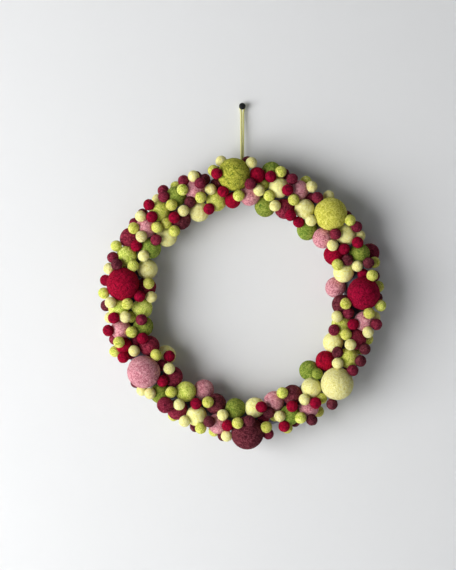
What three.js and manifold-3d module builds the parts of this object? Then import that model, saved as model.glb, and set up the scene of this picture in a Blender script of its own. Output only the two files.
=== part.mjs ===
// Felt ball wreath on a nail: wool felt balls of four sizes over a flat-backed ring, hung by a cord loop.
// Millimetres, +Z up, the front facing -Y. The wall is the plane y = 0, which the ring's flat back rests on,
// and the origin is the nail's foot on that wall.

import * as THREE from 'three';
import { ConvexGeometry } from 'three/addons/geometries/ConvexGeometry.js';
import { mergeVertices } from 'three/addons/utils/BufferGeometryUtils.js';
import Module from 'manifold-3d';

const wasm = await Module();
wasm.setup();

// Driving dimensions.
const RING_RADIUS = 150; // from the wreath's centre to the middle of its band
const NAIL_ABOVE_CENTRE = 258; // from the wreath's centre up to the nail's axis
const CORE_RADIUS = 16; // the round front of the ring's section
const CORE_DEPTH = 14; // from the wall to the middle of that round
const CORE_SIDES = 11; // facets round the section's front
const CORE_STEPS = 72; // facets round the ring
const FACET_ROOM = 0.08; // the ring is this much slimmer, as its inner facets reach past a round ring
const GAP = 0.3; // between pieces that touch
const SQUASH = 1.6; // how far a glued ball presses into the ball that carries it
const BALL_RADIUS = { large: 21.4, medium: 12.8, middling: 10.2, small: 7.4 };
const BALL_POINTS = { large: 96, medium: 38, middling: 26, small: 20 };

const SHANK_RADIUS = 1.3;
const HEAD_RADIUS = 4.4;
const HEAD_FOOT = 7; // from the wall to the underside of the nail's head
const HEAD_EDGE = 8.1;
const HEAD_TOP = 9;
const NAIL_SIDES = 16;
const CORD_RADIUS = 1.25;
const CORD_SIDES = 8;
const STEPS_PER_POINT = 2;

// The cord's route, x, y and z: up from the ring's top, over the nail and back down to the ring.
const CORD_ROUTE = [
  [-1.4, -14.6, -91.6],
  [-1.4, -14.1, -86],
  [-1.4, -12.9, -73],
  [-1.4, -11.4, -60],
  [-1.4, -9.7, -47],
  [-1.4, -8, -34],
  [-1.4, -6.3, -21],
  [-1.42, -5.1, -11],
  [-1.75, -4.6, -6],
  [-2.6, -4.5, -2.5],
  [-2.95, -4.5, 0],
  [-2.1, -4.5, 2.3],
  [0, -4.5, 3.1],
  [2.1, -4.5, 2.3],
  [2.95, -4.5, 0],
  [2.6, -4.5, -2.5],
  [1.75, -4.6, -6],
  [1.42, -5, -11],
  [1.4, -5.9, -21],
  [1.4, -7.2, -34],
  [1.3, -8.5, -47],
  [1.15, -9.9, -60],
  [1, -11, -73],
  [1, -12, -86],
  [1, -12.5, -91.6],
];

const FELT = {
  cream: 0xe9e6a6,
  yellow: 0xdcd95e,
  lime: 0xc8cb4c,
  olive: 0x9ba038,
  moss: 0x6f8a35,
  pink: 0xc37a90,
  red: 0xa80f33,
  wine: 0x7d1f3c,
  plum: 0x571a2c,
};

// Where the balls are, as a clock face seen from the front. A row is one lane round the band: out is how far
// the centres of its balls lie outside the middle of the band, and each colour lists its degrees clockwise
// from twelve.
const LARGE_BALLS = [
  { out: 20, plum: [177.8] },
  { out: 16, olive: [356.2] },
  { out: 11.5, yellow: [45], cream: [131] },
  { out: 7, red: [86, 278.5], pink: [234.7] },
];
const MEDIUM_BALLS = [
  { out: 15, moss: [67.5] },
  { out: 12, lime: [291.8], wine: [210.7], pink: [26.3, 257.3], moss: [328.5] },
  { out: 10, cream: [57, 202.7], pink: [148.2, 191.5], moss: [222], lime: [317.7] },
  { out: 9, pink: [100.5, 307.3, 336.3], moss: [157] },
  { out: 6, cream: [17.8], wine: [107.8], lime: [116.8] },
  { out: -5, cream: [33.5, 141.5] },
  { out: -12, cream: [173.6], pink: [4.3], moss: [183.2, 300.5], plum: [151.5, 194] },
  { out: -14, cream: [74], pink: [162.7], lime: [213, 345.5] },
  { out: -16, wine: [24.8, 221.8, 245.5], pink: [52.2], red: [62], plum: [323.6], moss: [255.3] },
  { out: -19, cream: [113.5, 289, 310.8, 333.8], red: [124.6], lime: [102.8], plum: [92.5] },
  { out: -21, moss: [12.7, 134.8], pink: [82, 204.5] },
  { out: -26, cream: [234.9] },
];
// Balls of the two middle sizes that are stuck to a neighbour.
const STUCK_MEDIUM_BALLS = [
  { out: 24, moss: [12.5], wine: [69] },
  { out: 16, wine: [298.8] },
  { out: 11, lime: [267] },
  { out: -19, lime: [267.3] },
  { out: -22, moss: [43], wine: [278] },
];
const MIDDLING_BALLS = [
  { out: 17, red: [8.2], wine: [216.6] },
  { out: 13, red: [248.6] },
  { out: -17, red: [354.8] },
];
const SMALL_BALLS = [
  { out: 30, cream: [4.3], lime: [73.3, 91.7, 273.7, 294], red: [279] },
  { out: 28, cream: [60.8, 284], red: [258], wine: [56.7, 288.9] },
  { out: 27, lime: [345.4], plum: [139.1, 149.6] },
  { out: 25, cream: [31, 187, 310.6, 338.9], lime: [52.8], red: [316.1] },
  { out: 25, wine: [99.8, 168, 325, 334.3] },
  { out: 22, cream: [206.2], lime: [78, 198.3], red: [243.9], wine: [22] },
  { out: 20.5, cream: [270], lime: [304.1], red: [347.6], wine: [323.2] },
  { out: 20, plum: [72.8, 111, 286.8] },
  { out: 18, cream: [103.6, 225.6], lime: [153.3, 252.1], wine: [34.3, 121] },
  { out: 18, red: [62.5, 161.4, 263] },
  { out: 15, lime: [95.8, 168.6, 331.9], wine: [340.6] },
  { out: 11, red: [144.2, 186.9, 312.7], plum: [195.7] },
  { out: 6, cream: [162.9, 211.8, 302.2], lime: [182.3, 323.8], red: [22.2, 297.3] },
  { out: 3, cream: [244.8, 262.8, 344.3], wine: [3.8], plum: [167, 176.7] },
  { out: -1, cream: [111.3, 147.6, 189.8], lime: [26.3, 218.4, 254.8, 268, 289.8] },
  { out: -1, red: [62.7, 154.4], wine: [54] },
  { out: -4, cream: [9, 122.4], lime: [311.9, 338.2], plum: [68.3, 332] },
  { out: -5, red: [204.6, 223.8, 349.9] },
  { out: -8.5, cream: [295, 327.2], lime: [14], red: [102.1, 168, 320.6] },
  { out: -12, cream: [57.8], lime: [107, 358], red: [250.3], wine: [97.2, 305.8] },
  { out: -13, cream: [39.7], lime: [199.1], plum: [117.7] },
  { out: -17, cream: [18.2], lime: [68, 91.2], red: [273], wine: [260.1] },
  { out: -21.5, cream: [227.8], lime: [156.3, 239.3, 316.4], red: [29, 340.2] },
  { out: -26, cream: [98.8], lime: [281.3], red: [35.5], wine: [107] },
  { out: -31, cream: [272.8], red: [233.4] },
];
// Small balls tucked in low behind the others, most of them round the outer rim.
const TUCKED_BALLS = [
  { out: 33, cream: [350.6], plum: [2] },
  { out: 28, cream: [39.2], lime: [27.8, 83.8, 248.8], plum: [268.5, 312.2, 340.8, 348.2] },
  { out: 26, plum: [18, 50.5, 78, 88] },
  { out: 24, cream: [263.2, 320.6], lime: [15.4, 145.3, 160.5, 191.9, 211.2, 330], wine: [253.7, 305.8] },
  { out: 24, cream: [96.6, 228.7], plum: [189, 200.7, 232.9] },
  { out: 20.5, lime: [106.5], plum: [116.6, 156.4, 344.3] },
  { out: 18, red: [13.6] },
  { out: 15, lime: [141] },
  { out: 6, cream: [73.4] },
  { out: -7, lime: [316.1] },
  { out: -12, moss: [133.6], wine: [230.9] },
];

// Small balls low down on the ring, in the gaps between the others.
const LOW_BALLS = [
  { out: 20, plum: [116.1] },
  { out: 15, lime: [111.9, 285.3], wine: [122.5] },
  { out: 11, wine: [33.6, 244.1], red: [76] },
  { out: 7.5, plum: [347.1] },
  { out: 5, lime: [10.5, 165.7], wine: [169.6] },
  { out: -4, lime: [262], wine: [250] },
];

// How the balls are settled: each turn pulls them to their places, then parts those that run into each other.
const TURNS = 600;
const PICK_EVERY = 20; // turns between a glued ball's choices of the ball that carries it, in the first half
const HOME_PULL = 0.06;
const CARRIER_PULL = 0.5;
const PARTING = 0.9;
const NEIGHBOUR_REACH = 24; // no two balls start further apart than this and still meet
const SMALL_REACH = 46; // from the middle of the ring's section to a small ball's centre at the start
const MIDDLING_REACH = 38;
const TUCKED_REACH = 31;

function coreReach(radius) {
  return CORE_RADIUS + radius + GAP;
}

// The balls of a table: x to the right, minus y out of the wall, and z up from the wreath's centre.
function readTable(rows, size, glued, reach) {
  const balls = [];
  for (const { out, ...lane } of rows) {
    for (const [colour, clocks] of Object.entries(lane)) {
      for (const clock of clocks) {
        const turn = THREE.MathUtils.degToRad(clock);
        const radius = RING_RADIUS + out;
        const depth = CORE_DEPTH + Math.sqrt(Math.max(0, reach ** 2 - out ** 2));
        const place = new THREE.Vector3(radius * Math.sin(turn), -depth, radius * Math.cos(turn));
        const name = `${size}_${colour}_${Math.round(clock)}`;
        balls.push({ name, size, colour, glued, radius: BALL_RADIUS[size], place, home: place.clone() });
      }
    }
  }
  return balls;
}

// The carrier whose surface lies nearest to a glued ball.
function nearestCarrier(ball, carriers) {
  let nearest = carriers[0];
  let least = Infinity;
  for (const carrier of carriers) {
    const away = ball.place.distanceTo(carrier.place) - carrier.radius;
    if (away < least) {
      least = away;
      nearest = carrier;
    }
  }
  return nearest;
}

function pullHome(ball, strength) {
  ball.place.x += (ball.home.x - ball.place.x) * strength;
  ball.place.z += (ball.home.z - ball.place.z) * strength;
}

function pullToCarrier(ball) {
  const reach = ball.radius + ball.carrier.radius - SQUASH;
  const seat = ball.place.clone().sub(ball.carrier.place).setLength(reach).add(ball.carrier.place);
  ball.place.lerp(seat, CARRIER_PULL);
}

function part(a, b) {
  const between = b.place.clone().sub(a.place);
  const short = a.radius + b.radius + GAP - between.length();
  if (short <= 0) return;
  const weightA = a.radius ** 3;
  const weightB = b.radius ** 3;
  between.setLength((PARTING * short) / (weightA + weightB));
  a.place.addScaledVector(between, -weightB);
  b.place.addScaledVector(between, weightA);
}

// A carrier lies on the ring, a glued ball lies on it or further out, and both clear the wall.
function keepOffRing(ball) {
  const radius = Math.hypot(ball.place.x, ball.place.z);
  const out = radius - RING_RADIUS;
  const up = -ball.place.y - CORE_DEPTH;
  const stretch = coreReach(ball.radius) / Math.hypot(out, up);
  if (!ball.glued || stretch > 1) {
    const scale = (RING_RADIUS + out * stretch) / radius;
    ball.place.x *= scale;
    ball.place.z *= scale;
    ball.place.y = -(CORE_DEPTH + up * stretch);
  }
  ball.place.y = Math.min(ball.place.y, -(ball.radius + GAP));
}

function settle(carriers, stuck, small) {
  const glued = [...stuck, ...small];
  const balls = [...carriers, ...glued];
  const pairs = [];
  balls.forEach((a, i) => {
    for (const b of balls.slice(i + 1)) {
      if (a.home.distanceTo(b.home) < a.radius + b.radius + NEIGHBOUR_REACH) pairs.push([a, b]);
    }
  });
  for (let turn = 0; turn < TURNS; turn += 1) {
    if (turn % PICK_EVERY === 0 && turn < TURNS / 2) {
      for (const ball of stuck) ball.carrier = nearestCarrier(ball, carriers);
      for (const ball of small) ball.carrier = nearestCarrier(ball, [...carriers, ...stuck]);
    }
    for (const ball of balls) pullHome(ball, HOME_PULL * (1 - turn / TURNS));
    for (const ball of glued) pullToCarrier(ball);
    for (const [a, b] of pairs) {
      if (b.carrier !== a) part(a, b);
    }
    for (const ball of balls) keepOffRing(ball);
  }
}

// A closed mesh as a solid that can be joined to another.
function solidOf(geometry) {
  const bare = new THREE.BufferGeometry().setAttribute('position', geometry.getAttribute('position'));
  if (geometry.index) bare.setIndex(geometry.index);
  const merged = mergeVertices(bare, 1e-4);
  const vertProperties = merged.getAttribute('position').array;
  const triVerts = new Uint32Array(merged.index.array);
  return new wasm.Manifold(new wasm.Mesh({ numProp: 3, vertProperties, triVerts }));
}

function geometryOf(solid) {
  const mesh = solid.getMesh();
  return new THREE.BufferGeometry()
    .setAttribute('position', new THREE.BufferAttribute(mesh.vertProperties, 3))
    .setIndex(new THREE.BufferAttribute(mesh.triVerts, 1));
}

// Points spread evenly over a unit sphere, each a golden angle on from the last.
function spherePoints(count) {
  const goldenAngle = Math.PI * (3 - Math.sqrt(5));
  return Array.from({ length: count }, (_, i) => {
    const height = 1 - (2 * i + 1) / count;
    const across = Math.sqrt(1 - height ** 2);
    return new THREE.Vector3(across * Math.cos(i * goldenAngle), across * Math.sin(i * goldenAngle), height);
  });
}

// A faceted ball with its first point turned towards what it sits on.
function ballSolid(ball, seat) {
  const points = spherePoints(BALL_POINTS[ball.size]);
  const towards = seat.clone().sub(ball.place).normalize();
  const turn = new THREE.Quaternion().setFromUnitVectors(points[0].clone(), towards);
  for (const point of points) point.applyQuaternion(turn).multiplyScalar(ball.radius).add(ball.place);
  return solidOf(new ConvexGeometry(points));
}

// The ball on the ring that a ball hangs from, through the balls that it is glued to.
function rootOf(ball) {
  return ball.glued ? rootOf(ball.carrier) : ball;
}

// A ball that lies on the ring, with the balls that are glued to it or to one another.
function clusterMesh(carrier, glued) {
  const onRing = carrier.place.clone().setY(0).setLength(RING_RADIUS).setY(-CORE_DEPTH);
  let solid = ballSolid(carrier, onRing);
  for (const ball of glued.filter((one) => rootOf(one) === carrier)) {
    solid = solid.add(ballSolid(ball, ball.carrier.place));
  }
  const mesh = new THREE.Mesh(geometryOf(solid), feltMaterial(FELT[carrier.colour]));
  mesh.name = carrier.name;
  return mesh;
}

function feltMaterial(colour) {
  return new THREE.MeshStandardMaterial({ color: colour, roughness: 0.95, metalness: 0 });
}

// The ring that carries the balls: round in front and flat where it meets the wall.
function ringCore() {
  const radius = CORE_RADIUS - FACET_ROOM;
  const flatHalf = Math.sqrt(radius ** 2 - CORE_DEPTH ** 2);
  const backAngle = Math.atan2(flatHalf, CORE_DEPTH);
  const sweep = 2 * (Math.PI - backAngle);
  const profile = [];
  for (let side = 0; side <= CORE_SIDES; side += 1) {
    const angle = backAngle + (sweep * side) / CORE_SIDES;
    const x = RING_RADIUS - radius * Math.sin(angle);
    const y = Math.min(0, radius * Math.cos(angle) - CORE_DEPTH);
    profile.push(new THREE.Vector2(x, y));
  }
  profile.push(profile[0].clone());
  const mesh = new THREE.Mesh(new THREE.LatheGeometry(profile, CORE_STEPS), feltMaterial(0x4c4d55));
  mesh.name = 'ring_core';
  return mesh;
}

function wallNail() {
  const profile = [
    [0, -HEAD_TOP],
    [HEAD_RADIUS * 0.7, -HEAD_TOP],
    [HEAD_RADIUS, -HEAD_EDGE],
    [HEAD_RADIUS, -HEAD_FOOT],
    [SHANK_RADIUS, -HEAD_FOOT],
    [SHANK_RADIUS, 0],
    [0, 0],
  ].map(([x, y]) => new THREE.Vector2(x, y));
  const steel = new THREE.MeshStandardMaterial({ color: 0x24272a, roughness: 0.5, metalness: 0.6 });
  const mesh = new THREE.Mesh(new THREE.LatheGeometry(profile, NAIL_SIDES), steel);
  mesh.name = 'wall_nail';
  return mesh;
}

// A curve whose steps follow its points, so that the bend over the nail, where they are close, is smooth.
class RouteCurve extends THREE.CatmullRomCurve3 {
  getPointAt(share, target) {
    return this.getPoint(share, target);
  }

  getTangentAt(share, target) {
    return this.getTangent(share, target);
  }
}

function hangingCord() {
  const route = new RouteCurve(CORD_ROUTE.map(([x, y, z]) => new THREE.Vector3(x, y, z)));
  const section = new THREE.Shape();
  for (let side = 0; side < CORD_SIDES; side += 1) {
    const angle = (2 * Math.PI * side) / CORD_SIDES;
    const x = CORD_RADIUS * Math.cos(angle);
    const y = CORD_RADIUS * Math.sin(angle);
    if (side === 0) section.moveTo(x, y);
    else section.lineTo(x, y);
  }
  const steps = (CORD_ROUTE.length - 1) * STEPS_PER_POINT;
  const tube = new THREE.ExtrudeGeometry(section, { steps, extrudePath: route });
  const mesh = new THREE.Mesh(tube, feltMaterial(0xc8c86e));
  mesh.name = 'hanging_cord';
  return mesh;
}

const carriers = [
  ...readTable(LARGE_BALLS, 'large', false, coreReach(BALL_RADIUS.large)),
  ...readTable(MEDIUM_BALLS, 'medium', false, coreReach(BALL_RADIUS.medium)),
];
const stuck = [
  ...readTable(STUCK_MEDIUM_BALLS, 'medium', true, coreReach(BALL_RADIUS.medium)),
  ...readTable(MIDDLING_BALLS, 'middling', true, MIDDLING_REACH),
];
const small = [
  ...readTable(SMALL_BALLS, 'small', true, SMALL_REACH),
  ...readTable(TUCKED_BALLS, 'small', true, TUCKED_REACH),
  ...readTable(LOW_BALLS, 'small', true, coreReach(BALL_RADIUS.small)),
];
settle(carriers, stuck, small);

const wreath = new THREE.Group();
wreath.position.z = -NAIL_ABOVE_CENTRE;
wreath.add(ringCore());
for (const carrier of carriers) wreath.add(clusterMesh(carrier, [...stuck, ...small]));

const group = new THREE.Group();
group.add(wreath, wallNail(), hangingCord());

export default group;
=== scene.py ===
# Felt ball wreath: wool felt balls glued over a dark ring, hanging from a wall nail by a loop of cord.
# The tables and the settling repeat those of the model, in millimetres; every Blender object is in metres.

import math
from dataclasses import dataclass

import bmesh
import bpy
import numpy as np
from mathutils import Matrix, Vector


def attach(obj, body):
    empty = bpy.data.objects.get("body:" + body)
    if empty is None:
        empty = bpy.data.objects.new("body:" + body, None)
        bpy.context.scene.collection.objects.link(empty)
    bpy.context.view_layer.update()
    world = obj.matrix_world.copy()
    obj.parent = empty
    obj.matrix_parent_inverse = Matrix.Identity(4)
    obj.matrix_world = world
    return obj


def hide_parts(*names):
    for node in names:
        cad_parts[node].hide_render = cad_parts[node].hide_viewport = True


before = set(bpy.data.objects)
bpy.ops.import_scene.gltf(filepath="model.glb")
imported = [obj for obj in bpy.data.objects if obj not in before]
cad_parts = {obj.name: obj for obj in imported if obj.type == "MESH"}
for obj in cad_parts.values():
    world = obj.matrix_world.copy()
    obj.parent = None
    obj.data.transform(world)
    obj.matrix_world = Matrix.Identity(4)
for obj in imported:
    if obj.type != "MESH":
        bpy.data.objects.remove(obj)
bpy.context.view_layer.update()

MM = 0.001
SEED = 7

# Sizes that the model gives, in millimetres.
RING_RADIUS = 150  # from the wreath's centre to the middle of its band
NAIL_ABOVE_CENTRE = 258
CORE_RADIUS = 16  # the round front of the ring's section
CORE_DEPTH = 14  # from the wall to the middle of that round
GAP = 0.3  # between pieces that touch
SQUASH = 1.6  # how far a glued ball presses into the ball that carries it
BALL_RADIUS = {"large": 21.4, "medium": 12.8, "middling": 10.2, "small": 7.4}
SHANK_RADIUS = 1.3
HEAD_RADIUS = 4.4
HEAD_FOOT = 7  # from the wall to the underside of the nail's head
HEAD_EDGE = 8.1  # from the wall to where the head's dome starts
HEAD_TOP = 9
CORD_RADIUS = 1.25

# The photograph's framing: its size in pixels, the wreath's centre in it, and the scale at the balls' plane.
PHOTO_WIDTH = 456
PHOTO_HEIGHT = 570
CENTRE_PX = (242.5, 302.0)
MM_PER_PX = 1.3
BALL_PLANE = 45 * MM  # how far in front of the wall that scale holds
CAMERA_DISTANCE = 2.5  # from that plane, in metres
SENSOR = 36.0


def camera():
    """A camera square to the wall, framed as the photograph is."""
    data = bpy.data.cameras.new("camera")
    data.sensor_width = SENSOR
    data.lens = SENSOR * CAMERA_DISTANCE / (PHOTO_HEIGHT * MM_PER_PX * MM)
    cam = bpy.data.objects.new("camera", data)
    aside = (PHOTO_WIDTH / 2 - CENTRE_PX[0]) * MM_PER_PX * MM
    above = (CENTRE_PX[1] - PHOTO_HEIGHT / 2) * MM_PER_PX * MM
    cam.location = (aside, -(CAMERA_DISTANCE + BALL_PLANE), above - NAIL_ABOVE_CENTRE * MM)
    cam.rotation_euler = (math.pi / 2, 0, 0)
    bpy.context.scene.collection.objects.link(cam)
    bpy.context.scene.camera = cam


camera()


# Materials

# Each felt is carded from a main wool, a lighter one and a darker one, as the picture shows them.
FELT = {
    "cream": ((0.965, 0.94, 0.61), (0.99, 0.975, 0.74), (0.89, 0.85, 0.48)),
    "yellow": ((0.81, 0.79, 0.31), (0.91, 0.89, 0.47), (0.65, 0.63, 0.18)),
    "lime": ((0.85, 0.86, 0.37), (0.95, 0.94, 0.56), (0.62, 0.69, 0.19)),
    "olive": ((0.66, 0.67, 0.22), (0.83, 0.83, 0.34), (0.38, 0.47, 0.16)),
    "moss": ((0.50, 0.55, 0.20), (0.66, 0.69, 0.32), (0.31, 0.42, 0.15)),
    "pink": ((0.80, 0.515, 0.56), (0.90, 0.68, 0.71), (0.62, 0.34, 0.40)),
    "red": ((0.56, 0.015, 0.16), (0.68, 0.06, 0.22), (0.34, 0.01, 0.11)),
    "wine": ((0.47, 0.12, 0.205), (0.60, 0.22, 0.30), (0.29, 0.06, 0.13)),
    "plum": ((0.375, 0.14, 0.18), (0.51, 0.25, 0.29), (0.22, 0.07, 0.11)),
}
# How much a ball's hue shifts with its shade: more in the greens than in the reds.
HUE_DRIFT = {"cream": 0.05, "yellow": 0.05, "lime": 0.12, "olive": 0.1, "moss": 0.12}
RED_DRIFT = 0.02
WRAP_COLOUR = (0.33, 0.33, 0.37)
CORD_COLOUR = (0.90, 0.89, 0.57)
NAIL_COLOUR = (0.13, 0.14, 0.14)
BARE_STEEL = (0.34, 0.34, 0.33)

# The felt's patterns. Scales are noise cells for each metre, depths are in metres, and a hair's width is the
# span of noise values that it covers.
SWIRL_SCALE = 85.0
SWIRL_PUSH = 0.018
LOCK_SCALE = 560.0
LOCK_TURN = (0.4, 0.9, 0.2)
LOCK_STRETCH = (1.0, 0.3, 1.0)
LOCK_DEPTH = 0.0013
CROSSING_SCALE = 820.0
CROSSING_TURN = (1.3, 0.1, 1.1)
CROSSING_STRETCH = (0.3, 1.0, 1.0)
CROSSING_DEPTH = 0.0008
CLOUD_SCALE = 190.0
HAIR_SCALE = 330.0
HAIR_WIDTH = 0.035
FINE_HAIR_SCALE = 560.0
FINE_HAIR_WIDTH = 0.045
FINE_HAIR_PLACE = (0.3, 0.1, 0.2)
FINE_HAIR_HEIGHT = 0.7
HAIR_DEPTH = 0.00016
# How much each pattern counts in the wool's tone, and the tones of the dark, main and light wool.
LOCK_SHARE = 0.54
CROSSING_SHARE = 0.30
CLOUD_SHARE = 0.16
HAIR_SHARE = 0.045
DARK_STOP = 0.41
MAIN_STOP = 0.50
LIGHT_STOP = 0.59

# The wrapping's nap and patches, the cord's threads and the nail's wear, in the same units.
NAP_SCALE = 900.0
NAP_DEPTH = 0.0005
NAP_LIGHT = 1.7
PATCH_SCALE = 60.0
PATCH_STRENGTH = 2.2
THREAD_SCALE = 2400.0
THREAD_TURN = (0.3, 0.2, 0.0)
THREAD_STRETCH = (1.0, 1.0, 0.3)
THREAD_DEPTH = 0.0002
THREAD_SHARE = 0.55
CORD_TONE_SCALE = 180.0
CORD_DARK = 0.60
WEAR_SCALE = 700.0
WEAR_DEPTH = 0.0002
WEAR_STRENGTH = 1.6


def linear(colour):
    """A picture's colour as the light that a shader takes."""
    return tuple(((c + 0.055) / 1.055) ** 2.4 if c > 0.04045 else c / 12.92 for c in colour) + (1.0,)


class Nodes:
    """A short way to add and join shader nodes."""

    def __init__(self, name):
        self.material = bpy.data.materials.new(name)
        self.material.use_nodes = True
        self.tree = self.material.node_tree
        self.tree.nodes.clear()

    def add(self, kind, inputs=None, **settings):
        node = self.tree.nodes.new(kind)
        for key, value in settings.items():
            setattr(node, key, value)
        for key, value in (inputs or {}).items():
            if isinstance(value, bpy.types.NodeSocket):
                self.tree.links.new(value, node.inputs[key])
            else:
                node.inputs[key].default_value = value
        return node

    def noise(self, vector, scale, detail, roughness=0.6, distortion=0.0):
        """A noise's value at each place, around 0.5."""
        inputs = {"Vector": vector, "Scale": scale, "Detail": detail,
                  "Roughness": roughness, "Distortion": distortion}
        return self.add("ShaderNodeTexNoise", inputs).outputs["Fac"]

    def math(self, operation, a, b):
        return self.add("ShaderNodeMath", {0: a, 1: b}, operation=operation).outputs[0]

    def vector_math(self, operation, inputs):
        return self.add("ShaderNodeVectorMath", inputs, operation=operation).outputs[0]

    def blend(self, share, a, b):
        """Colour a, turning into colour b as the share goes from 0 to 1."""
        node = self.add("ShaderNodeMix", data_type="RGBA")
        for socket, value in (("Factor", share), ("A", a), ("B", b)):
            target = next(s for s in node.inputs if s.name == socket and s.enabled)
            if isinstance(value, bpy.types.NodeSocket):
                self.tree.links.new(value, target)
            else:
                target.default_value = value
        return next(s for s in node.outputs if s.enabled)

    def bump(self, height, distance, strength, normal=None):
        inputs = {"Height": height, "Distance": distance, "Strength": strength}
        if normal is not None:
            inputs["Normal"] = normal
        return self.add("ShaderNodeBump", inputs).outputs["Normal"]

    def finish(self, inputs, **constants):
        """The material, with its patterns and its constants on the shader's own sockets."""
        shader = self.add("ShaderNodeBsdfPrincipled", inputs | constants)
        self.add("ShaderNodeOutputMaterial", {"Surface": shader.outputs[0]})
        return self.material


def stretched(nodes, place, turn, stretch):
    """The place turned and squeezed, so that a noise read there runs in streaks."""
    turned = nodes.add("ShaderNodeMapping", {"Vector": place, "Rotation": turn, "Scale": stretch})
    return turned.outputs["Vector"]


def thin_lines(nodes, place, scale, offset, width):
    """Curling lines, one hair wide, where a noise crosses its middle value."""
    moved = nodes.add("ShaderNodeMapping", {"Vector": place, "Location": offset}).outputs["Vector"]
    level = nodes.noise(moved, scale, 2.0, 0.5, 0.4)
    centred = nodes.math("SUBTRACT", level, 0.5)
    away = nodes.add("ShaderNodeMath", {0: centred}, operation="ABSOLUTE").outputs[0]
    spread = {"Value": away, "From Min": 0.0, "From Max": width, "To Min": 1.0, "To Max": 0.0}
    return nodes.add("ShaderNodeMapRange", spread).outputs["Result"]


def felt(name, wools, drift):
    """Wool felt: swirling locks of three wools, single hairs across them, small pits and a soft bloom."""
    main, light, dark = (linear(wool) for wool in wools)
    nodes = Nodes(name)
    place = nodes.add("ShaderNodeTexCoord").outputs["Object"]
    swirls = {"Vector": place, "Scale": SWIRL_SCALE, "Detail": 2.0}
    swirl = nodes.add("ShaderNodeTexNoise", swirls).outputs["Color"]
    centred = nodes.vector_math("SUBTRACT", {0: swirl, 1: (0.5, 0.5, 0.5)})
    shift = nodes.vector_math("SCALE", {0: centred, "Scale": SWIRL_PUSH})
    warped = nodes.vector_math("ADD", {0: place, 1: shift})
    locks = nodes.noise(stretched(nodes, warped, LOCK_TURN, LOCK_STRETCH), LOCK_SCALE, 3.0)
    across = stretched(nodes, warped, CROSSING_TURN, CROSSING_STRETCH)
    crossing = nodes.noise(across, CROSSING_SCALE, 3.0)
    clouds = nodes.noise(place, CLOUD_SCALE, 2.0)
    coarse = thin_lines(nodes, warped, HAIR_SCALE, (0.0, 0.0, 0.0), HAIR_WIDTH)
    fine = thin_lines(nodes, warped, FINE_HAIR_SCALE, FINE_HAIR_PLACE, FINE_HAIR_WIDTH)
    hairs = nodes.math("MAXIMUM", coarse, nodes.math("MULTIPLY", fine, FINE_HAIR_HEIGHT))
    mixed = nodes.math("MULTIPLY", locks, LOCK_SHARE)
    for pattern, share in ((crossing, CROSSING_SHARE), (clouds, CLOUD_SHARE), (hairs, HAIR_SHARE)):
        mixed = nodes.math("ADD", mixed, nodes.math("MULTIPLY", pattern, share))
    ramp = nodes.add("ShaderNodeValToRGB", {"Fac": mixed})
    ramp.color_ramp.elements[0].position = DARK_STOP
    ramp.color_ramp.elements[0].color = dark
    ramp.color_ramp.elements[1].position = LIGHT_STOP
    ramp.color_ramp.elements[1].color = light
    ramp.color_ramp.elements.new(MAIN_STOP).color = main
    # The shade attribute holds a ball's own random tone and, by its size, painted light.
    shade = nodes.add("ShaderNodeAttribute", attribute_name="shade").outputs["Fac"]
    turn = nodes.math("ADD", nodes.math("MULTIPLY", shade, drift), 0.5 - drift)
    wool = {"Color": ramp.outputs["Color"], "Value": shade, "Hue": turn}
    toned = nodes.add("ShaderNodeHueSaturation", wool)
    normal = nodes.bump(locks, LOCK_DEPTH, 0.9)
    normal = nodes.bump(crossing, CROSSING_DEPTH, 0.8, normal)
    normal = nodes.bump(hairs, HAIR_DEPTH, 0.9, normal)
    paleness = sum(main[:3]) / 3
    return nodes.finish(
        {"Base Color": toned.outputs["Color"], "Normal": normal},
        **{
            "Roughness": 0.95,
            "Specular IOR Level": 0.10,
            "Sheen Weight": 0.1 + 0.9 * paleness,
            "Sheen Roughness": 0.4,
            "Sheen Tint": light,
        },
    )


def wrap_material():
    """The ring's dark cover: a matt cloth with a faint, uneven nap."""
    nodes = Nodes("ring_wrap")
    place = nodes.add("ShaderNodeTexCoord").outputs["Object"]
    nap = nodes.noise(place, NAP_SCALE, 4.0, 0.65, 0.6)
    patches = nodes.noise(place, PATCH_SCALE, 3.0)
    base = linear(WRAP_COLOUR)
    pale = tuple(c * NAP_LIGHT + 0.004 for c in base[:3]) + (1.0,)
    share = nodes.math("MULTIPLY", nap, patches)
    colour = nodes.blend(nodes.math("MULTIPLY", share, PATCH_STRENGTH), base, pale)
    normal = nodes.bump(nap, NAP_DEPTH, 0.6)
    return nodes.finish({"Base Color": colour, "Normal": normal}, Roughness=0.9, **{"Sheen Weight": 0.2})


def cord_material():
    """A smooth, slightly glossy yellow-green cord with fine darker threads."""
    nodes = Nodes("hanging_cord")
    place = nodes.add("ShaderNodeTexCoord").outputs["Object"]
    threads = nodes.noise(stretched(nodes, place, THREAD_TURN, THREAD_STRETCH), THREAD_SCALE, 3.0)
    tone = nodes.noise(place, CORD_TONE_SCALE, 2.0)
    base = linear(CORD_COLOUR)
    dark = tuple(c * CORD_DARK for c in base[:3]) + (1.0,)
    share = nodes.math("MULTIPLY", nodes.math("ADD", threads, tone), THREAD_SHARE)
    colour = nodes.blend(share, dark, base)
    normal = nodes.bump(threads, THREAD_DEPTH, 0.5)
    return nodes.finish({"Base Color": colour, "Normal": normal}, Roughness=0.55, **{"Sheen Weight": 0.15})


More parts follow.
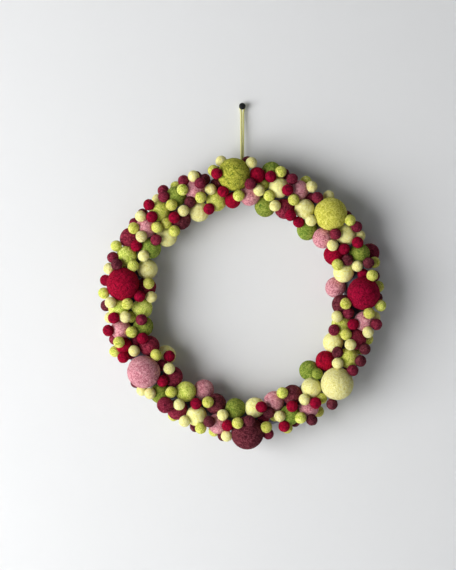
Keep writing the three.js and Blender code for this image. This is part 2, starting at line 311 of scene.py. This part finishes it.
def nail_material():
    """Blackened steel, a little worn in spots."""
    nodes = Nodes("nail_black")
    place = nodes.add("ShaderNodeTexCoord").outputs["Object"]
    wear = nodes.noise(place, WEAR_SCALE, 4.0, 0.7)
    base = linear(NAIL_COLOUR)
    bare = linear(BARE_STEEL)
    share = nodes.math("MULTIPLY", nodes.math("SUBTRACT", wear, 0.5), WEAR_STRENGTH)
    worn = nodes.add("ShaderNodeClamp", {"Value": share}).outputs[0]
    rough = nodes.math("ADD", nodes.math("MULTIPLY", wear, 0.3), 0.3)
    normal = nodes.bump(wear, WEAR_DEPTH, 0.4)
    colour = nodes.blend(worn, base, bare)
    return nodes.finish({"Base Color": colour, "Roughness": rough, "Normal": normal}, Metallic=0.7)


# The cord

# Its route as the model has it, x, y and z: up from the ring's top, over the nail and back down to the ring.
CORD_ROUTE = [
    (-1.4, -14.6, -91.6),
    (-1.4, -14.1, -86),
    (-1.4, -12.9, -73),
    (-1.4, -11.4, -60),
    (-1.4, -9.7, -47),
    (-1.4, -8, -34),
    (-1.4, -6.3, -21),
    (-1.42, -5.1, -11),
    (-1.75, -4.6, -6),
    (-2.6, -4.5, -2.5),
    (-2.95, -4.5, 0),
    (-2.1, -4.5, 2.3),
    (0, -4.5, 3.1),
    (2.1, -4.5, 2.3),
    (2.95, -4.5, 0),
    (2.6, -4.5, -2.5),
    (1.75, -4.6, -6),
    (1.42, -5, -11),
    (1.4, -5.9, -21),
    (1.4, -7.2, -34),
    (1.3, -8.5, -47),
    (1.15, -9.9, -60),
    (1, -11, -73),
    (1, -12, -86),
    (1, -12.5, -91.6),
]
PLIES = 3
# The plies' crests lie a little outside the cord's own radius, and the hollows between them a little inside.
PLUMPNESS = 1.08
PLY_DEPTH = 0.12
LAY_LENGTH = 7.0
CORD_SIDES = 18
CORD_STEP = 0.5
CURVE_STEPS = 24  # between two points of the route


def route_points(points, step):
    """Points a step apart on the smooth curve through the given ones."""
    p = np.array(points, float)
    p = np.vstack([2 * p[0] - p[1], p, 2 * p[-1] - p[-2]])
    fine = []
    for a, b, c, d in zip(p, p[1:], p[2:], p[3:]):
        for t in np.linspace(0, 1, CURVE_STEPS, endpoint=False):
            fine.append(0.5 * (2 * b + (c - a) * t + (2 * a - 5 * b + 4 * c - d) * t**2
                               + (3 * b - a - 3 * c + d) * t**3))
    fine = np.array(fine + [p[-2]])
    run = np.concatenate([[0], np.cumsum(np.linalg.norm(np.diff(fine, axis=0), axis=1))])
    even = np.linspace(0, run[-1], int(run[-1] / step) + 1)
    return np.column_stack([np.interp(even, run, fine[:, k]) for k in range(3)]), even


def cord_piece():
    """The cord as three plies laid round each other along its route."""
    line, run = route_points(CORD_ROUTE, CORD_STEP)
    tangents = np.gradient(line, axis=0)
    tangents /= np.linalg.norm(tangents, axis=1)[:, None]
    side = np.array([0.0, 1.0, 0.0])
    angles = np.arange(CORD_SIDES) * 2 * math.pi / CORD_SIDES
    rings = []
    for centre, tangent, along in zip(line, tangents, run):
        side = side - tangent * side.dot(tangent)
        side /= np.linalg.norm(side)
        other = np.cross(tangent, side)
        ply = np.cos(PLIES * (angles - 2 * math.pi * along / LAY_LENGTH))
        radius = CORD_RADIUS * PLUMPNESS * (1 - PLY_DEPTH * (0.5 - 0.5 * ply))
        ring = np.outer(radius * np.cos(angles), side) + np.outer(radius * np.sin(angles), other)
        rings.append(centre + ring)
    verts = np.vstack(rings + [line[:1], line[-1:]])
    faces = []
    for low in range(0, (len(rings) - 1) * CORD_SIDES, CORD_SIDES):
        high = low + CORD_SIDES
        for k in range(CORD_SIDES):
            n = (k + 1) % CORD_SIDES
            faces.append((low + k, low + n, high + n, high + k))
    first, last = len(verts) - 2, len(verts) - 1
    top = (len(rings) - 1) * CORD_SIDES
    for k in range(CORD_SIDES):
        n = (k + 1) % CORD_SIDES
        faces.append((first, n, k))
        faces.append((last, top + k, top + n))
    piece = new_piece("cord_loop", verts, faces, cord_material())
    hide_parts("hanging_cord")


def new_piece(name, verts, faces, material, shades=None):
    """A smooth mesh object that rides on the part, from points in millimetres."""
    mesh = bpy.data.meshes.new(name)
    face_rows = faces.tolist() if isinstance(faces, np.ndarray) else faces
    mesh.from_pydata((np.asarray(verts) * MM).tolist(), [], face_rows)
    if shades is not None:
        mesh.attributes.new("shade", "FLOAT", "POINT").data.foreach_set("value", shades.astype(np.float32))
    mesh.shade_smooth()
    mesh.materials.append(material)
    piece = bpy.data.objects.new(name, mesh)
    bpy.context.scene.collection.objects.link(piece)
    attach(piece, "root")
    return piece


cord_piece()


# The balls' places

# A row is one lane round the band: out is how far the centres of its balls lie outside the middle of the
# band, and each colour lists its degrees clockwise from twelve, seen from the front.
LARGE_BALLS = [
    dict(out=20, plum=[177.8]),
    dict(out=16, olive=[356.2]),
    dict(out=11.5, yellow=[45], cream=[131]),
    dict(out=7, red=[86, 278.5], pink=[234.7]),
]
MEDIUM_BALLS = [
    dict(out=15, moss=[67.5]),
    dict(out=12, lime=[291.8], wine=[210.7], pink=[26.3, 257.3], moss=[328.5]),
    dict(out=10, cream=[57, 202.7], pink=[148.2, 191.5], moss=[222], lime=[317.7]),
    dict(out=9, pink=[100.5, 307.3, 336.3], moss=[157]),
    dict(out=6, cream=[17.8], wine=[107.8], lime=[116.8]),
    dict(out=-5, cream=[33.5, 141.5]),
    dict(out=-12, cream=[173.6], pink=[4.3], moss=[183.2, 300.5], plum=[151.5, 194]),
    dict(out=-14, cream=[74], pink=[162.7], lime=[213, 345.5]),
    dict(out=-16, wine=[24.8, 221.8, 245.5], pink=[52.2], red=[62], plum=[323.6], moss=[255.3]),
    dict(out=-19, cream=[113.5, 289, 310.8, 333.8], red=[124.6], lime=[102.8], plum=[92.5]),
    dict(out=-21, moss=[12.7, 134.8], pink=[82, 204.5]),
    dict(out=-26, cream=[234.9]),
]
# Balls of the two middle sizes that are stuck to a neighbour.
STUCK_MEDIUM_BALLS = [
    dict(out=24, moss=[12.5], wine=[69]),
    dict(out=16, wine=[298.8]),
    dict(out=11, lime=[267]),
    dict(out=-19, lime=[267.3]),
    dict(out=-22, moss=[43], wine=[278]),
]
MIDDLING_BALLS = [
    dict(out=17, red=[8.2], wine=[216.6]),
    dict(out=13, red=[248.6]),
    dict(out=-17, red=[354.8]),
]
SMALL_BALLS = [
    dict(out=30, cream=[4.3], lime=[73.3, 91.7, 273.7, 294], red=[279]),
    dict(out=28, cream=[60.8, 284], red=[258], wine=[56.7, 288.9]),
    dict(out=27, lime=[345.4], plum=[139.1, 149.6]),
    dict(out=25, cream=[31, 187, 310.6, 338.9], lime=[52.8], red=[316.1]),
    dict(out=25, wine=[99.8, 168, 325, 334.3]),
    dict(out=22, cream=[206.2], lime=[78, 198.3], red=[243.9], wine=[22]),
    dict(out=20.5, cream=[270], lime=[304.1], red=[347.6], wine=[323.2]),
    dict(out=20, plum=[72.8, 111, 286.8]),
    dict(out=18, cream=[103.6, 225.6], lime=[153.3, 252.1], wine=[34.3, 121]),
    dict(out=18, red=[62.5, 161.4, 263]),
    dict(out=15, lime=[95.8, 168.6, 331.9], wine=[340.6]),
    dict(out=11, red=[144.2, 186.9, 312.7], plum=[195.7]),
    dict(out=6, cream=[162.9, 211.8, 302.2], lime=[182.3, 323.8], red=[22.2, 297.3]),
    dict(out=3, cream=[244.8, 262.8, 344.3], wine=[3.8], plum=[167, 176.7]),
    dict(out=-1, cream=[111.3, 147.6, 189.8], lime=[26.3, 218.4, 254.8, 268, 289.8]),
    dict(out=-1, red=[62.7, 154.4], wine=[54]),
    dict(out=-4, cream=[9, 122.4], lime=[311.9, 338.2], plum=[68.3, 332]),
    dict(out=-5, red=[204.6, 223.8, 349.9]),
    dict(out=-8.5, cream=[295, 327.2], lime=[14], red=[102.1, 168, 320.6]),
    dict(out=-12, cream=[57.8], lime=[107, 358], red=[250.3], wine=[97.2, 305.8]),
    dict(out=-13, cream=[39.7], lime=[199.1], plum=[117.7]),
    dict(out=-17, cream=[18.2], lime=[68, 91.2], red=[273], wine=[260.1]),
    dict(out=-21.5, cream=[227.8], lime=[156.3, 239.3, 316.4], red=[29, 340.2]),
    dict(out=-26, cream=[98.8], lime=[281.3], red=[35.5], wine=[107]),
    dict(out=-31, cream=[272.8], red=[233.4]),
]
# Small balls tucked in low behind the others, most of them round the outer rim.
TUCKED_BALLS = [
    dict(out=33, cream=[350.6], plum=[2]),
    dict(out=28, cream=[39.2], lime=[27.8, 83.8, 248.8], plum=[268.5, 312.2, 340.8, 348.2]),
    dict(out=26, plum=[18, 50.5, 78, 88]),
    dict(out=24, cream=[263.2, 320.6], lime=[15.4, 145.3, 160.5, 191.9, 211.2, 330], wine=[253.7, 305.8]),
    dict(out=24, cream=[96.6, 228.7], plum=[189, 200.7, 232.9]),
    dict(out=20.5, lime=[106.5], plum=[116.6, 156.4, 344.3]),
    dict(out=18, red=[13.6]),
    dict(out=15, lime=[141]),
    dict(out=6, cream=[73.4]),
    dict(out=-7, lime=[316.1]),
    dict(out=-12, moss=[133.6], wine=[230.9]),
]
# Small balls low down on the ring, in the gaps between the others.
LOW_BALLS = [
    dict(out=20, plum=[116.1]),
    dict(out=15, lime=[111.9, 285.3], wine=[122.5]),
    dict(out=11, wine=[33.6, 244.1], red=[76]),
    dict(out=7.5, plum=[347.1]),
    dict(out=5, lime=[10.5, 165.7], wine=[169.6]),
    dict(out=-4, lime=[262], wine=[250]),
]

# How the balls are settled: each turn pulls them to their places, then parts those that run into each other.
TURNS = 600
PICK_EVERY = 20  # turns between a glued ball's choices of the ball that carries it, in the first half
HOME_PULL = 0.06
CARRIER_PULL = 0.5
PARTING = 0.9
NEIGHBOUR_REACH = 24  # no two balls start further apart than this and still meet
SMALL_REACH = 46  # from the middle of the ring's section to a small ball's centre at the start
MIDDLING_REACH = 38
TUCKED_REACH = 31


@dataclass(eq=False)
class Ball:
    """A felt ball, which starts at its home and moves as the balls settle."""

    name: str
    size: str
    colour: str
    glued: bool
    radius: float
    place: list
    home: tuple
    carrier: "Ball" = None


def core_reach(radius):
    """How far a ball that lies on the ring is from the middle of the ring's section."""
    return CORE_RADIUS + radius + GAP


def read_table(rows, size, glued, reach):
    """The balls of a table: x to the right, minus y out of the wall, and z up from the wreath's centre."""
    balls = []
    for row in rows:
        out = row["out"]
        for colour, clocks in row.items():
            if colour == "out":
                continue
            for clock in clocks:
                turn = math.radians(clock)
                radius = RING_RADIUS + out
                depth = CORE_DEPTH + math.sqrt(max(0, reach**2 - out**2))
                place = [radius * math.sin(turn), -depth, radius * math.cos(turn)]
                name = f"{size}_{colour}_{math.floor(clock + 0.5)}"
                balls.append(Ball(name, size, colour, glued, BALL_RADIUS[size], place, tuple(place)))
    return balls


def pull_to_carrier(ball):
    """Draws a glued ball to the surface of the ball that carries it."""
    away = [a - b for a, b in zip(ball.place, ball.carrier.place)]
    reach = (ball.radius + ball.carrier.radius - SQUASH) / math.hypot(*away)
    for k in range(3):
        seat = ball.carrier.place[k] + away[k] * reach
        ball.place[k] += (seat - ball.place[k]) * CARRIER_PULL


def part(a, b):
    """Moves two balls that run into each other apart, the lighter one further."""
    between = [q - p for p, q in zip(a.place, b.place)]
    length = math.sqrt(between[0] ** 2 + between[1] ** 2 + between[2] ** 2)
    short = a.radius + b.radius + GAP - length
    if short <= 0:
        return
    weight_a = a.radius**3
    weight_b = b.radius**3
    step = PARTING * short / (weight_a + weight_b) / length
    for k in range(3):
        a.place[k] -= between[k] * step * weight_b
        b.place[k] += between[k] * step * weight_a


def keep_off_ring(ball):
    """Rests a carrier on the ring, and keeps every ball out of the ring and the wall."""
    x, y, z = ball.place
    radius = math.hypot(x, z)
    out = radius - RING_RADIUS
    up = -y - CORE_DEPTH
    stretch = core_reach(ball.radius) / math.hypot(out, up)
    if not ball.glued or stretch > 1:
        scale = (RING_RADIUS + out * stretch) / radius
        ball.place = [x * scale, -(CORE_DEPTH + up * stretch), z * scale]
    ball.place[1] = min(ball.place[1], -(ball.radius + GAP))


def nearest_carrier(ball, carriers):
    """The carrier whose surface lies nearest to a glued ball."""
    return min(carriers, key=lambda one: math.dist(ball.place, one.place) - one.radius)


def settle(carriers, stuck, small):
    """Moves the balls in small steps until they rest on the ring or on each other."""
    glued = stuck + small
    balls = carriers + glued
    pairs = [
        (a, b)
        for i, a in enumerate(balls)
        for b in balls[i + 1:]
        if math.dist(a.home, b.home) < a.radius + b.radius + NEIGHBOUR_REACH
    ]
    for turn in range(TURNS):
        if turn % PICK_EVERY == 0 and turn < TURNS / 2:
            for ball in stuck:
                ball.carrier = nearest_carrier(ball, carriers)
            for ball in small:
                ball.carrier = nearest_carrier(ball, carriers + stuck)
        pull = HOME_PULL * (1 - turn / TURNS)
        for ball in balls:
            ball.place[0] += (ball.home[0] - ball.place[0]) * pull
            ball.place[2] += (ball.home[2] - ball.place[2]) * pull
        for ball in glued:
            pull_to_carrier(ball)
        for a, b in pairs:
            if b.carrier is not a:
                part(a, b)
        for ball in balls:
            keep_off_ring(ball)


def settled_balls():
    """All balls where they rest, measured from the nail."""
    carriers = read_table(LARGE_BALLS, "large", False, core_reach(BALL_RADIUS["large"]))
    carriers += read_table(MEDIUM_BALLS, "medium", False, core_reach(BALL_RADIUS["medium"]))
    stuck = read_table(STUCK_MEDIUM_BALLS, "medium", True, core_reach(BALL_RADIUS["medium"]))
    stuck += read_table(MIDDLING_BALLS, "middling", True, MIDDLING_REACH)
    small = read_table(SMALL_BALLS, "small", True, SMALL_REACH)
    small += read_table(TUCKED_BALLS, "small", True, TUCKED_REACH)
    small += read_table(LOW_BALLS, "small", True, core_reach(BALL_RADIUS["small"]))
    settle(carriers, stuck, small)
    balls = carriers + stuck + small
    for ball in balls:
        ball.place[2] -= NAIL_ABOVE_CENTRE
    return balls


# The balls' surfaces

SUBDIVISIONS = {"large": 6, "medium": 5, "middling": 5, "small": 4}
FIBRES = {"large": 420, "medium": 130, "middling": 90, "small": 55}
OVALNESS = 0.016
LUMPS = {"large": 0.010, "medium": 0.014, "middling": 0.015, "small": 0.018}
LUMP_WAVES = 9
LUMP_RUN = (2.0, 5.0)  # the slowest and fastest wave
# How much larger than in the model a ball is before the others flatten it.
FULLNESS = {"large": 1.0, "medium": 1.05, "middling": 1.04, "small": 1.02}
DIMPLE_DEPTH = 0.24
DIMPLE_SPACING = (3.0, 6.5)
DIMPLE_WAVES = 26
TOUCH_REACH = 1.6  # balls no further apart than this may flatten each other
TOUCH_GAP = 0.06  # between flattened balls
TOUCH_SOFTNESS = 0.22  # how gently the edge of a flat spot turns
# How light a ball is beside its felt's own colour. By its size this is painted light: the medium and
# middling balls, which lie low between the others and take more shade, are lighter in colour to stand for
# light reaching them, and the small ones a touch darker. By chance it is the ball's own tone, which differs
# from ball to ball.
SIZE_PAINTED_LIGHT = {"large": 1.0, "medium": 1.10, "middling": 1.05, "small": 0.99}
SHADE_SPREAD = 0.09


def unit_sphere(subdivisions):
    """The points and triangles of an even round mesh, one unit in radius."""
    bm = bmesh.new()
    bmesh.ops.create_icosphere(bm, subdivisions=subdivisions, radius=1.0)
    points = np.array([v.co[:] for v in bm.verts])
    faces = np.array([[v.index for v in f.verts] for f in bm.faces])
    bm.free()
    return points, faces


def waves(directions, rng, count, slowest, fastest):
    """Smooth uneven heights over a sphere, mostly between -1 and 1: a sum of waves that run every way."""
    height = np.zeros(len(directions))
    for _ in range(count):
        run = rng.normal(size=3)
        run *= rng.uniform(slowest, fastest) / np.linalg.norm(run)
        height += np.sin(directions @ run + rng.uniform(0, 2 * math.pi))
    return height / math.sqrt(count)


def clear_of(points, ball, other):
    """Flattens the ball where another touches it, at a plane between the two."""
    way = np.subtract(other.place, ball.place)
    distance = np.linalg.norm(way)
    way /= distance
    plane = (distance**2 + ball.radius**2 - other.radius**2) / (2 * distance) - TOUCH_GAP / 2
    reach = points @ way
    kept = plane - TOUCH_SOFTNESS * np.logaddexp(0, (plane - reach) / TOUCH_SOFTNESS)
    return points + (kept - reach)[:, None] * way


def clear_of_ring(points, ball):
    """Flattens the ball where it lies on the ring."""
    x, y, z = (points + ball.place).T
    z = z + NAIL_ABOVE_CENTRE
    radius = np.hypot(x, z)
    out = radius - RING_RADIUS
    up = -y - CORE_DEPTH
    reach = np.hypot(out, up)
    stretch = np.maximum(1, (CORE_RADIUS + TOUCH_GAP) / reach)
    scale = (RING_RADIUS + out * stretch) / radius
    moved = np.column_stack([x * scale, -(CORE_DEPTH + up * stretch), z * scale - NAIL_ABOVE_CENTRE])
    return moved - ball.place


def ball_surface(ball, neighbours, rng, sphere):
    """A felt ball's points round its centre: a little oval and lumpy, and flat where others touch."""
    directions = sphere[0]
    axis = rng.normal(size=3)
    axis /= np.linalg.norm(axis)
    oval = OVALNESS * (1.5 * (directions @ axis) ** 2 - 0.5)
    lumps = LUMPS[ball.size] * waves(directions, rng, LUMP_WAVES, *LUMP_RUN)
    nearest, widest = DIMPLE_SPACING
    around = 2 * math.pi * ball.radius
    dimples = waves(directions, rng, DIMPLE_WAVES, around / widest, around / nearest)
    full = ball.radius * FULLNESS[ball.size] * (1 + oval + lumps)
    height = full - DIMPLE_DEPTH * np.maximum(0, dimples)
    points = directions * height[:, None]
    for other in neighbours:
        points = clear_of(points, ball, other)
    return clear_of_ring(points, ball)


FIBRE_RADIUS = 0.045
FIBRE_TAPER = 0.6
FIBRE_STEPS = np.array([0.0, 0.5, 1.0])
FIBRE_SIDES = 3
FIBRE_LENGTH = (1.6, 4.4)
FIBRE_CURL = 0.35
FIBRE_LIFT = (0.1, 1.0)
FIBRE_ROOT = 0.25  # how deep a hair starts in the ball
FIBRE_WALL_ROOM = 3  # no hair starts nearer to the wall than this
FIBRE_BALL_ROOM = 1.5  # or nearer to another ball than this


def fibres(ball, neighbours, rng):
    """Fine wool hairs that lie along the ball and lift off at their tips, where nothing covers them."""
    count = FIBRES[ball.size]
    roots = rng.normal(size=(count, 3))
    roots /= np.linalg.norm(roots, axis=1)[:, None]
    at = roots * ball.radius + ball.place
    bare = at[:, 1] < -FIBRE_WALL_ROOM
    for other in neighbours:
        bare &= np.linalg.norm(at - other.place, axis=1) > other.radius + FIBRE_BALL_ROOM
    roots = roots[bare]
    count = len(roots)
    along = np.cross(roots, rng.normal(size=(count, 3)))
    along /= np.linalg.norm(along, axis=1)[:, None]
    aside = np.cross(roots, along)
    length = rng.uniform(*FIBRE_LENGTH, count)
    lift = rng.uniform(*FIBRE_LIFT, count) ** 2
    curl = rng.uniform(-FIBRE_CURL, FIBRE_CURL, count)
    lines = []
    for step in FIBRE_STEPS:
        run = (length * step / ball.radius)[:, None]
        way = roots + along * run + aside * run * (curl * step)[:, None]
        way /= np.linalg.norm(way, axis=1)[:, None]
        height = ball.radius - FIBRE_ROOT + (FIBRE_ROOT + lift) * step
        lines.append(way * height[:, None])
    rings = []
    for step, line in zip(FIBRE_STEPS, lines):
        thick = FIBRE_RADIUS * (1 - FIBRE_TAPER * step)
        for side in range(FIBRE_SIDES):
            angle = 2 * math.pi * side / FIBRE_SIDES
            rings.append(line + thick * (math.cos(angle) * roots + math.sin(angle) * aside))
    points = np.stack(rings, axis=1)
    faces = []
    for ring in range(len(FIBRE_STEPS) - 1):
        low = ring * FIBRE_SIDES
        for side in range(FIBRE_SIDES):
            following = (side + 1) % FIBRE_SIDES
            faces.append((low + side, low + following, low + FIBRE_SIDES + following))
            faces.append((low + side, low + FIBRE_SIDES + following, low + FIBRE_SIDES + side))
    top = (len(FIBRE_STEPS) - 1) * FIBRE_SIDES
    faces.append((2, 1, 0))
    faces.append((top, top + 1, top + 2))
    starts = np.arange(count) * points.shape[1]
    return points.reshape(-1, 3), (np.array(faces)[None] + starts[:, None, None]).reshape(-1, 3)


def ball_pieces(balls):
    """Each large and middle-sized ball as a piece, and the small ones joined in a piece for each colour."""
    rng = np.random.default_rng(SEED)
    spheres = {size: unit_sphere(count) for size, count in SUBDIVISIONS.items()}
    felts = {
        colour: felt(f"felt_{colour}", wools, HUE_DRIFT.get(colour, RED_DRIFT))
        for colour, wools in FELT.items()
    }
    groups = {}
    for ball in balls:
        neighbours = [
            other
            for other in balls
            if other is not ball
            and math.dist(other.place, ball.place) < ball.radius + other.radius + TOUCH_REACH
        ]
        points = ball_surface(ball, neighbours, rng, spheres[ball.size])
        hairs, hair_faces = fibres(ball, neighbours, rng)
        verts = np.vstack([points, hairs]) + ball.place
        faces = np.vstack([spheres[ball.size][1], hair_faces + len(points)])
        # The part of this tone that comes from the ball's size is painted light; the random part is the
        # ball's own tone.
        tone = SIZE_PAINTED_LIGHT[ball.size] + rng.uniform(-SHADE_SPREAD, SHADE_SPREAD)
        shade = np.full(len(verts), tone)
        key = f"felt_small_{ball.colour}" if ball.size == "small" else f"felt_{ball.name}"
        groups.setdefault(key, []).append((ball, verts, faces, shade))
    for name, members in groups.items():
        offsets = np.cumsum([0] + [len(verts) for _, verts, _, _ in members])
        verts = np.vstack([verts for _, verts, _, _ in members])
        faces = np.vstack([faces + offset for (_, _, faces, _), offset in zip(members, offsets)])
        shades = np.concatenate([shade for _, _, _, shade in members])
        colour = members[0][0].colour
        piece = new_piece(name, verts, faces, felts[colour], shades)
        for ball, _, _, _ in members:
            if not ball.glued:
                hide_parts(ball.name)


# The ring core and the nail

CORE_TURNS = 288  # steps round the ring
CORE_ARC = 40  # points round the section's front
CORE_FLAT = 8  # points across its flat back
CORE_ROUGH = 0.12
# The cover's unevenness: how often it comes round the ring, and how it slants over the section.
COVER_WAVES = (61, 23)
COVER_SLANTS = (0.5, 0.3)


def core_piece():
    """The ring with its round front and flat back, its cover a little uneven."""
    half = math.sqrt(CORE_RADIUS**2 - CORE_DEPTH**2)
    back = math.atan2(half, CORE_DEPTH)
    angles = np.linspace(back, 2 * math.pi - back, CORE_ARC)
    outs = np.concatenate([CORE_RADIUS * np.sin(angles), np.linspace(-half, half, CORE_FLAT + 2)[1:-1]])
    ups = np.concatenate([CORE_DEPTH - CORE_RADIUS * np.cos(angles), np.zeros(CORE_FLAT)])
    around = np.arange(CORE_TURNS) * 2 * math.pi / CORE_TURNS
    fast, slow = COVER_WAVES
    out_slant, up_slant = COVER_SLANTS
    verts = []
    for turn in around:
        rough = CORE_ROUGH * np.sin(turn * fast + outs * out_slant) * np.sin(turn * slow - ups * up_slant)
        rough = np.where(ups < 1, 0, np.minimum(0, rough))
        radius = RING_RADIUS + outs * (1 + rough / CORE_RADIUS)
        depth = CORE_DEPTH + (ups - CORE_DEPTH) * (1 + rough / CORE_RADIUS)
        column = [radius * math.sin(turn), -depth, radius * math.cos(turn) - NAIL_ABOVE_CENTRE]
        verts.append(np.column_stack(column))
    size = len(outs)
    faces = []
    for i in range(CORE_TURNS):
        j = (i + 1) % CORE_TURNS
        for k in range(size):
            n = (k + 1) % size
            faces.append((i * size + k, i * size + n, j * size + n, j * size + k))
    piece = new_piece("ring_cover", np.vstack(verts), faces, wrap_material())
    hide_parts("ring_core")


NAIL_SIDES = 48
NECK_HEIGHT = 0.6
NECK_WIDTH = 0.5
HEAD_BEVEL = 0.3
DOME_START = 0.04 * math.pi
DOME_RINGS = 8


def nail_piece():
    """The nail outside the wall, with its domed head."""
    rings = [
        (SHANK_RADIUS, 0),
        (SHANK_RADIUS, HEAD_FOOT - NECK_HEIGHT),
        (SHANK_RADIUS + NECK_WIDTH, HEAD_FOOT),
        (HEAD_RADIUS - HEAD_BEVEL, HEAD_FOOT),
        (HEAD_RADIUS, HEAD_FOOT + HEAD_BEVEL),
        (HEAD_RADIUS, HEAD_EDGE - HEAD_BEVEL),
    ]
    rise = HEAD_TOP - HEAD_EDGE
    for angle in np.linspace(DOME_START, math.pi / 2, DOME_RINGS + 1)[:-1]:
        rings.append((HEAD_RADIUS * math.cos(angle), HEAD_EDGE + rise * math.sin(angle)))
    verts = [(0, 0, 0)]
    for radius, depth in rings:
        for k in range(NAIL_SIDES):
            angle = 2 * math.pi * k / NAIL_SIDES
            verts.append((radius * math.cos(angle), -depth, radius * math.sin(angle)))
    verts.append((0, -HEAD_TOP, 0))
    faces = []
    for k in range(NAIL_SIDES):
        n = (k + 1) % NAIL_SIDES
        faces.append((0, 1 + k, 1 + n))
        for i in range(len(rings) - 1):
            low = 1 + i * NAIL_SIDES
            high = low + NAIL_SIDES
            faces.append((low + k, high + k, high + n, low + n))
        last = 1 + (len(rings) - 1) * NAIL_SIDES
        faces.append((last + k, len(verts) - 1, last + n))
    piece = new_piece("nail_head_and_shank", verts, faces, nail_material())
    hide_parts("wall_nail")


ball_pieces(settled_balls())
core_piece()
nail_piece()


# The stage

# The stage's sizes and places are in metres.
WALL_COLOUR = (0.90, 0.905, 0.91)
WALL_SIZE = 12.0
WALL_GAP = 0.0006  # between the wreath's back and the wall
FLOOR_DROP = 1.5  # from the nail down to the floor
FLOOR_COLOURS = ((0.88, 0.88, 0.88), (0.91, 0.91, 0.91))
LIT_DEPTH = 0.03  # the lights point this far out from the wall, at the wreath's centre
KEY_PLACE = (-1.95, -1.75, -0.78)
KEY_SIZE = 2.6
KEY_WATTS = 113
KEY_COLOUR = (1.0, 0.995, 0.985)
FILL_PLACE = (-0.9, 2.2, 0.5)
FILL_SIZE = 1.6
FILL_WATTS = 10
FILL_COLOUR = (1.0, 1.0, 1.0)
ROOM_COLOUR = (0.93, 0.95, 1.0, 1.0)
ROOM_STRENGTH = 0.12


def plane(name, corners, material):
    """A flat piece of the stage."""
    mesh = bpy.data.meshes.new(name)
    mesh.from_pydata(corners, [], [(0, 1, 2, 3)])
    mesh.materials.append(material)
    obj = bpy.data.objects.new(name, mesh)
    bpy.context.scene.collection.objects.link(obj)


def wall_material():
    """Pale paint, seen from the front only, so that the back of the wreath can be looked at and lit."""
    nodes = Nodes("wall_paint")
    geometry = nodes.add("ShaderNodeNewGeometry")
    rays = nodes.add("ShaderNodeLightPath")
    behind = nodes.math("MAXIMUM", geometry.outputs["Backfacing"], rays.outputs["Is Shadow Ray"])
    paint = nodes.add("ShaderNodeBsdfDiffuse", {"Color": linear(WALL_COLOUR)})
    clear = nodes.add("ShaderNodeBsdfTransparent")
    mix = nodes.add("ShaderNodeMixShader", {0: behind, 1: paint.outputs[0], 2: clear.outputs[0]})
    nodes.add("ShaderNodeOutputMaterial", {"Surface": mix.outputs[0]})
    return nodes.material


def floor_material():
    """Pale paint with a faint cloudiness."""
    nodes = Nodes("floor_paint")
    place = nodes.add("ShaderNodeTexCoord").outputs["Object"]
    tone = nodes.noise(place, 3.0, 2.0)
    pale, paler = (linear(colour) for colour in FLOOR_COLOURS)
    return nodes.finish({"Base Color": nodes.blend(tone, pale, paler)}, Roughness=0.8)


def area_light(name, place, target, size, power, colour):
    """A round light, its size in metres and its power in watts."""
    data = bpy.data.lights.new(name, "AREA")
    data.shape = "DISK"
    data.size = size
    data.energy = power
    data.color = colour
    lamp = bpy.data.objects.new(name, data)
    lamp.location = place
    lamp.rotation_euler = (Vector(target) - Vector(place)).to_track_quat("-Z", "Y").to_euler()
    lamp.visible_camera = False
    bpy.context.scene.collection.objects.link(lamp)


def stage():
    """The wall and floor, a large soft light from the left, a weak one behind, and the room's own light."""
    w = WALL_SIZE / 2
    y = WALL_GAP
    low = -FLOOR_DROP
    plane("wall", [(-w, y, low), (w, y, low), (w, y, w), (-w, y, w)], wall_material())
    plane("floor", [(-w, -w, low), (w, -w, low), (w, w, low), (-w, w, low)], floor_material())
    middle = (0, -LIT_DEPTH, -NAIL_ABOVE_CENTRE * MM)
    area_light("key", KEY_PLACE, middle, KEY_SIZE, KEY_WATTS, KEY_COLOUR)
    area_light("back_fill", FILL_PLACE, middle, FILL_SIZE, FILL_WATTS, FILL_COLOUR)
    world = bpy.data.worlds.new("studio")
    bpy.context.scene.world = world
    world.use_nodes = True
    background = world.node_tree.nodes["Background"]
    background.inputs["Color"].default_value = ROOM_COLOUR
    background.inputs["Strength"].default_value = ROOM_STRENGTH
    bpy.context.scene.view_settings.view_transform = "Standard"


stage()
